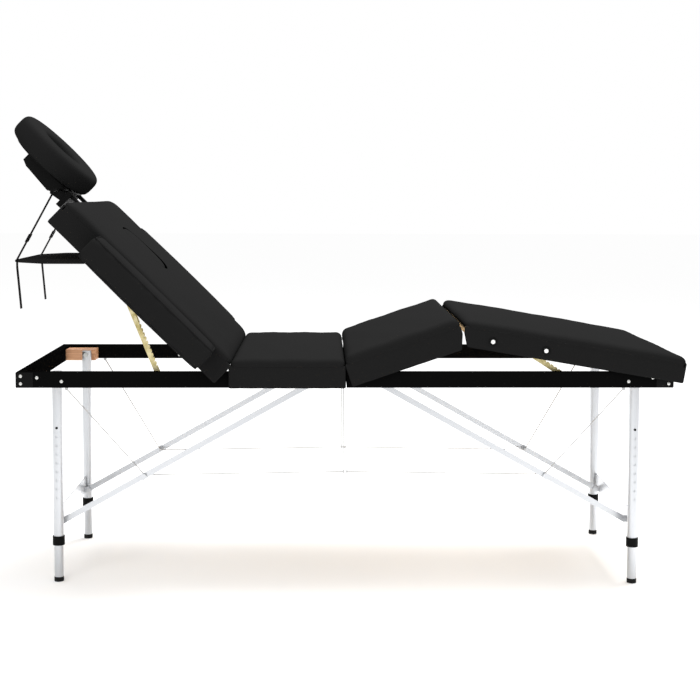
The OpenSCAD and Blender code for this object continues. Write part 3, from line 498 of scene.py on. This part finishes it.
# %% Armrests
ARM_S, ARM_L, ARM_W, ARM_GAP = 0.062, 0.428, 0.090, 0.004
ARM_DOWN, ARM_UP = 0.044, 0.028
ROD_R, ROD_PITCH = 0.006, 0.144
ROD_OUT = -0.0105
SEAM_R = 0.0022


def armrest_piece(side):
    """A bolster with its two seams and its two rods, on the near (-1) or the far side (1)."""
    y0 = HALF_W + ARM_GAP
    lo, hi = (ARM_S, y0, -ARM_DOWN), (ARM_S + ARM_L, y0 + ARM_W, ARM_UP)
    points, faces = rounded_box(lo, hi, 0.02, cells=(40, 8, 6))
    a = (points[:, 0] - lo[0]) / ARM_L * 2 - 1
    b = (points[:, 1] - y0) / ARM_W * 2 - 1
    c = (points[:, 2] - lo[2]) / (hi[2] - lo[2]) * 2 - 1
    points[:, 2] += 0.004 * np.sign(c) * (1 - a ** 2) * (1 - b ** 2) * np.abs(c)
    points[:, 1] += 0.0012 * b * np.sin(a * 23 + 2 * np.sin(a * 7))
    seam_inset, power = 0.006, 0.16
    turn = np.linspace(0, 2 * math.pi, 96, endpoint=False)
    x = (ARM_L / 2 - seam_inset) * np.sign(np.cos(turn)) * np.abs(np.cos(turn)) ** power
    y = (ARM_W / 2 - seam_inset) * np.sign(np.sin(turn)) * np.abs(np.sin(turn)) ** power
    extras = []
    for level in (-0.88, 0.88):
        out = (lo[2] + hi[2]) / 2 + level * (hi[2] - lo[2]) / 2
        path = np.stack([x + ARM_S + ARM_L / 2, y + y0 + ARM_W / 2, np.full(len(turn), out)], axis=1)
        extras.append(tube(path, SEAM_R))
    first_rod = ARM_S + (ARM_L - ROD_PITCH) / 2
    for k in (0, 1):
        rod_s = first_rod + k * ROD_PITCH
        ends = [[rod_s, HALF_W - 0.014, ROD_OUT], [rod_s, y0 + 0.004, ROD_OUT]]
        extras.append(tube(ends, ROD_R, closed=False, sides=20))
    points, faces = join((points, faces), *extras)
    if side < 0:
        points = points * np.array([1, -1, 1])
        faces = faces[:, ::-1]
    name = "armrest_near" if side < 0 else "armrest_far"
    piece = make_piece(name + "_bolster", on_back(points), faces, vinyl, name, smooth_angle=60)
    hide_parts(name)


armrest_piece(-1)
armrest_piece(1)

# %% [markdown]
# ## The face ring
# The headrest's cushion is a stuffed ring. Its section is a rounded square, which a circle becomes when
# its sine and cosine are raised to a power below one. The cover gathers in small radial puckers.

# %% Face ring
RING_S, RING_L, RING_W, RING_BAND, RING_N, RING_T = 0.771, 0.276, 0.290, 0.082, 0.018, 0.068


def ring_shape():
    """A band carried round an oval: out and up are a circle's cosine and sine to a power of about a half."""
    around, across = 160, 40
    u = np.linspace(0, 2 * math.pi, around, endpoint=False)[:, None]
    v = np.linspace(0, 2 * math.pi, across, endpoint=False)[None, :]
    cosine = np.sign(np.cos(v)) * np.abs(np.cos(v)) ** 0.5
    sine = np.sign(np.sin(v)) * np.abs(np.sin(v)) ** 0.6
    pucker = 1 + 0.014 * np.sin(u * 40 + np.sin(u * 3)) * np.abs(cosine) ** 2 * (cosine < 0)
    reach = RING_BAND / 2 * cosine * pucker
    x = (RING_L / 2 - RING_BAND / 2 + reach) * np.cos(u)
    y = (RING_W / 2 - RING_BAND / 2 + reach) * np.sin(u)
    out = RING_N + RING_T / 2 + RING_T / 2 * sine + 0 * u
    points = np.stack([x + RING_S, y, out], axis=-1).reshape(-1, 3)
    return points, grid_faces(around, across, closed_rows=True, closed_columns=True)


def ring_seam(height_share, inset=0.003):
    """A piped seam round the ring's outside, at a share of its height."""
    u = np.linspace(0, 2 * math.pi, 120, endpoint=False)
    path = np.stack([RING_S + (RING_L / 2 - inset) * np.cos(u), (RING_W / 2 - inset) * np.sin(u),
                     np.full(len(u), RING_N + RING_T * height_share)], axis=1)
    return tube(path, SEAM_R)


ring_points, ring_faces = join(ring_shape(), ring_seam(0.72), ring_seam(0.28))
ring = make_piece("face_ring", on_back(ring_points), ring_faces, vinyl, "headrest",
                  smooth_angle=70)
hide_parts("headrest_cushion")

# %% [markdown]
# ## Arm shelf
# The shelf under the headrest is a thin padded board whose outer edge thins to a lip. Its straps pass
# through buckles, which are plain black frames, and through slots in the shelf to their loose tails.

# %% Arm shelf and buckles
SHELF_THICK, SHELF_CORNER = 0.016, 0.03
shelf_lo, shelf_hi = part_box("arm_shelf")
shelf_lo[2] = shelf_hi[2] - SHELF_THICK
shelf_points, shelf_faces = rounded_box(tuple(shelf_lo), tuple(shelf_hi), 0.007, cells=(30, 30, 3))
share = (shelf_points[:, 0] - shelf_lo[0]) / (shelf_hi[0] - shelf_lo[0])
past = np.clip(shelf_lo[0] + SHELF_CORNER - shelf_points[:, 0], 0, SHELF_CORNER)
sink = SHELF_CORNER - np.sqrt(SHELF_CORNER ** 2 - past ** 2)
shelf_points[:, 1] *= 1 - sink / ((shelf_hi[1] - shelf_lo[1]) / 2)
middle = (shelf_lo[2] + shelf_hi[2]) / 2
thin = np.clip(0.45 + share / 0.42 * 0.55, 0, 1)
shelf_points[:, 2] = middle + (shelf_points[:, 2] - middle) * thin
shelf = make_piece("shelf_pad", shelf_points, shelf_faces, vinyl, "shelf", smooth_angle=60)
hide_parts("arm_shelf")

STRAP_Y, STRAP_HALF, STRAP_HALF_THICK = 0.158, 0.009, 0.001


def buckle(centre, turn_degrees):
    """A flat frame of four bars round the strap, turned to lie along it."""
    half_w, half_h, bar = STRAP_HALF + 0.005, 0.011, 0.0022
    corner = [(-half_w, -half_h), (half_w, -half_h), (half_w, half_h), (-half_w, half_h)]
    path = np.array([(0, y, z) for y, z in corner])
    dense = np.concatenate([np.linspace(path[k], path[(k + 1) % 4], 8, endpoint=False) for k in range(4)])
    points, faces = tube(dense, bar, up=(1, 0, 0))
    bar_points, bar_faces = tube([[0, -half_w, 0], [0, half_w, 0]], bar, closed=False, up=(1, 0, 0))
    points, faces = join((points, faces), (bar_points, bar_faces))
    turn = math.radians(turn_degrees)
    spin = np.array([[math.cos(turn), 0, -math.sin(turn)], [0, 1, 0], [math.sin(turn), 0, math.cos(turn)]])
    return points @ spin + np.array(centre), faces


strap_top = (seam_x - 0.8068, 1.0690)
strap_low = (seam_x - 0.908, 0.883)
lean = math.degrees(math.atan2(strap_top[0] - strap_low[0], strap_top[1] - strap_low[1]))
BUCKLE_SHARE = 0.32
buckle_x = strap_low[0] + BUCKLE_SHARE * (strap_top[0] - strap_low[0])
buckle_z = strap_low[1] + BUCKLE_SHARE * (strap_top[1] - strap_low[1])
buckle_points, buckle_faces = join(*[buckle((buckle_x, side * STRAP_Y, buckle_z), lean) for side in (-1, 1)])
make_piece("strap_buckles", buckle_points, buckle_faces, black_plastic, "shelf")

through_low, through_high = shelf_hi[2] - 0.026, strap_low[1] + 0.001
through = []
for side in (-1, 1):
    low = (strap_low[0] - STRAP_HALF_THICK, side * STRAP_Y - STRAP_HALF, through_low)
    high = (strap_low[0] + STRAP_HALF_THICK, side * STRAP_Y + STRAP_HALF, through_high)
    through.append(rounded_box(low, high, 0.0005, cells=(1, 2, 2)))
through_points, through_faces = join(*through)
make_piece("straps_through_shelf", through_points, through_faces, webbing, "shelf")

# %% [markdown]
# ## Small fittings
# Screws hold the corners of the rails, black plates cover the corners' sides, white caps close the
# spare sockets, and rubber caps end the legs. Each is a turned or boxed shape placed from the frame.

# %% Turned shapes
def turned(profile, centre, axis, around=28):
    """A profile of (radius, height) pairs spun about an axis through centre."""
    profile = np.array(profile, float)
    axis = np.array(axis, float)
    helper = np.array((0, 0, 1.0)) if abs(axis[2]) < 0.9 else np.array((1.0, 0, 0))
    side = np.cross(axis, helper)
    side /= np.linalg.norm(side)
    other = np.cross(axis, side)
    turn = np.linspace(0, 2 * math.pi, around, endpoint=False)
    ring = np.cos(turn)[:, None] * side + np.sin(turn)[:, None] * other
    points = profile[:, 0][:, None, None] * ring[None] + profile[:, 1][:, None, None] * axis
    return (points + np.array(centre)).reshape(-1, 3), grid_faces(len(profile), around, closed_columns=True)


def small_group(name, shapes, material, body):
    """Several small shapes as one piece."""
    points, faces = join(*shapes)
    return make_piece(name, points, faces, material, body, smooth_angle=35)


# Profiles are (radius, height) in metres; TIP stands for the axis, where a radius can't be nothing.
TIP = 1e-5
PLATE_LONG, PLATE_THICK, PLATE_IN = 0.045, 0.0012, 0.001
SCREW = [(TIP, 0.0022), (0.002, 0.0021), (0.0042, 0.0012), (0.0048, -0.0004), (TIP, -0.0006)]
rail_lo, rail_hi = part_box("head_rail_near")
rail_mid = (rail_lo[2] + rail_hi[2]) / 2
for body_name, sign in (("head_frame", -1), ("foot_frame", 1)):
    screws, plates = [], []
    end_x = seam_x + sign * (rail_hi[0] - rail_lo[0] + 0.001)
    for side in (-1, 1):
        face_y = side * rail_hi[1] if side > 0 else rail_lo[1]
        for inward, height in ((0.012, 0.010), (0.012, -0.010), (0.055, 0.006), (0.12, -0.004)):
            screws.append(turned(SCREW, (end_x - sign * inward, face_y, rail_mid + height), (0, side, 0)))
        xs = sorted((end_x + sign * PLATE_THICK, end_x - sign * PLATE_LONG))
        ys = sorted((face_y, face_y + side * PLATE_THICK))
        plates.append(rounded_box((xs[0], ys[0], rail_lo[2] + PLATE_IN),
                                  (xs[1], ys[1], rail_hi[2] - PLATE_IN), 0.0005, cells=(2, 1, 2)))
    small_group(body_name + "_screws", screws, hinge_steel, body_name)
    small_group(body_name + "_corner_plates", plates, black_plastic, body_name)

# %% Socket caps and feet
CAP = [(TIP, 0.0012), (0.0045, 0.0012), (0.0058, 0.0006), (0.0059, -0.010), (TIP, -0.010)]
RIM = [(0.0061, -0.002), (0.0062, 0.0016), (0.0085, 0.0020), (0.0105, 0.0008), (0.0108, -0.002)]
caps, rims = [], []
for mount in frame["record"]["mounts"]:
    side = mount["axis"][1]
    mouth = (mount["pos_m"][0], side * HALF_W, mount["pos_m"][2])
    caps.append(turned(CAP, mouth, (0, side, 0)))
    rims.append(turned(RIM, mouth, (0, side, 0)))
small_group("socket_caps", caps, white_plastic, "calf")
small_group("socket_rims", rims, black_plastic, "calf")

FOOT = [(TIP, 0.0), (0.0118, 0.0), (0.0130, 0.0015), (0.0130, 0.012), (0.0126, 0.0135), (0.0122, 0.0136)]
for half in ("head", "foot"):
    for side in ("near", "far"):
        lo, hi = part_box(f"{half}_inner_{side}")
        centre = ((lo[0] + hi[0]) / 2, (lo[1] + hi[1]) / 2, 0.0)
        small_group(f"{half}_foot_cap_{side}", [turned(FOOT, centre, (0, 0, 1))], rubber,
                    f"{half}_foot_{side}")

# %% [markdown]
# ## Brace wires
# The wires are taut while the table stands, and fall slack as it folds. No joint moves them: as the
# table folds shut they lie flat in the gap between its halves, which is 3 mm. Each set is copied from
# the CAD wires as they are, and rides on its half of the frame.

# %% Wires
for half in ("head", "foot"):
    source = frame["nodes"][half + "_wires"]
    ropes = bpy.data.objects.new(half + "_wire_ropes", source.data.copy())
    ropes.matrix_world = source.matrix_world
    bpy.context.scene.collection.objects.link(ropes)
    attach(ropes, half + "_frame")
    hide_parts(half + "_wires")
    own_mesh(ropes)

# %% [markdown]
# ## Floor and light
# A pale floor and a pale room give the even light of a product picture. Two large soft lamps from
# above make the highlights on the vinyl and the tubes.

# %% Floor, world and lamps
floor_mesh = bpy.data.meshes.new("floor")
FLOOR_HALF = 30.0
floor_corners = [(FLOOR_HALF * x, FLOOR_HALF * y, 0) for x, y in ((-1, -1), (1, -1), (1, 1), (-1, 1))]
floor_mesh.from_pydata(floor_corners, [], [(0, 1, 2, 3)])
floor = bpy.data.objects.new("floor", floor_mesh)
floor_finish = new_material("white studio floor", "#fdfdfd", 0.9, gloss=0.0)[0]
floor_mesh.materials.append(floor_finish)
bpy.context.scene.collection.objects.link(floor)

world = bpy.data.worlds.new("white room")
world.use_nodes = True
world.node_tree.nodes["Background"].inputs["Color"].default_value = (1, 1, 1, 1)
world.node_tree.nodes["Background"].inputs["Strength"].default_value = 1.0
bpy.context.scene.world = world
bpy.context.scene.view_settings.view_transform = "Standard"


def soft_lamp(name, place, aim, size, power):
    """An area lamp that faces a point."""
    data = bpy.data.lights.new(name, "AREA")
    data.size = size
    data.energy = power
    lamp = bpy.data.objects.new(name, data)
    lamp.location = place
    direction = np.array(aim) - np.array(place)
    flat = math.hypot(direction[0], direction[1])
    lamp.rotation_euler = (math.pi / 2 + math.atan2(direction[2], flat), 0,
                           math.atan2(direction[1], direction[0]) - math.pi / 2)
    bpy.context.scene.collection.objects.link(lamp)


soft_lamp("key", (-1.5, -3.0, 3.2), (0, 0, 0.7), 2.0, 40)
soft_lamp("top", (0.6, 0.6, 3.5), (0, 0, 0.6), 2.5, 220)
